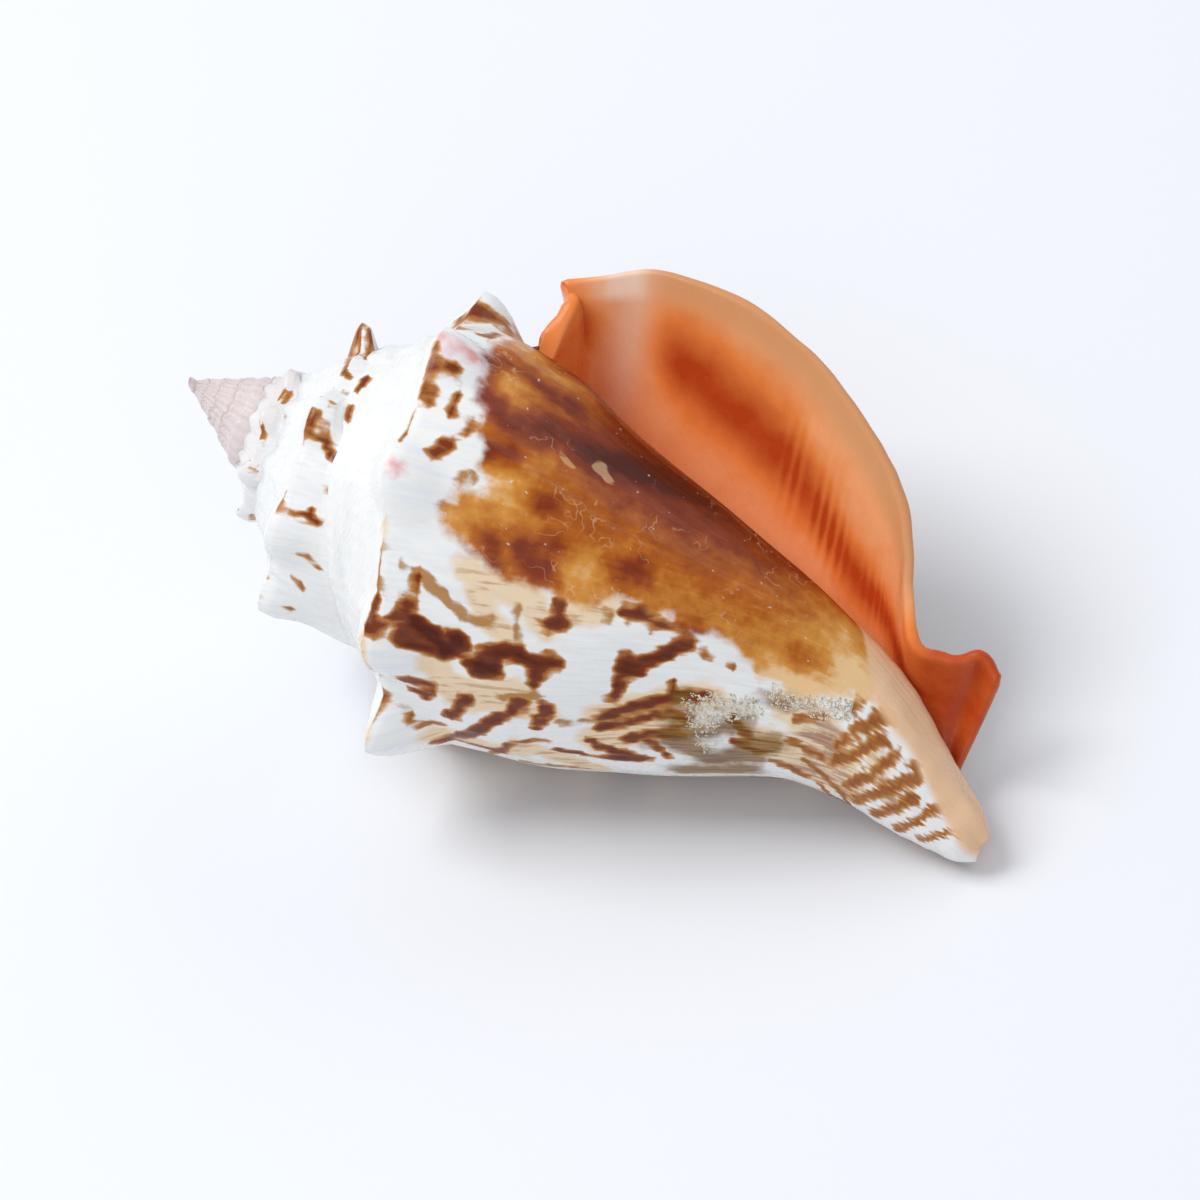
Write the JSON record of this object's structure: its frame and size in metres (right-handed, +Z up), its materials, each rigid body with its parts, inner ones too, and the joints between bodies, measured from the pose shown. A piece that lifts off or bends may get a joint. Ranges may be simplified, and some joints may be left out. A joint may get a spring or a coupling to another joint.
{
  "type": "conch shell",
  "caption": "Right-handed fighting conch shell with a knobbed spire, a tapering body whorl, a short canal and a flared outer lip around an open aperture.",
  "frame": {"origin": "middle of the bounding box's floor, on the surface the shell lies on", "axes": "+X along the shell towards its anterior tip, +Y towards the flared outer lip, +Z up with the shell lying on its back"},
  "size_m": [0.0836, 0.0502, 0.0413],
  "materials": {
    "shell": "glossy"
  },
  "bodies": {
    "root": {"conch_shell": "shell"}
  },
  "joints": []
}
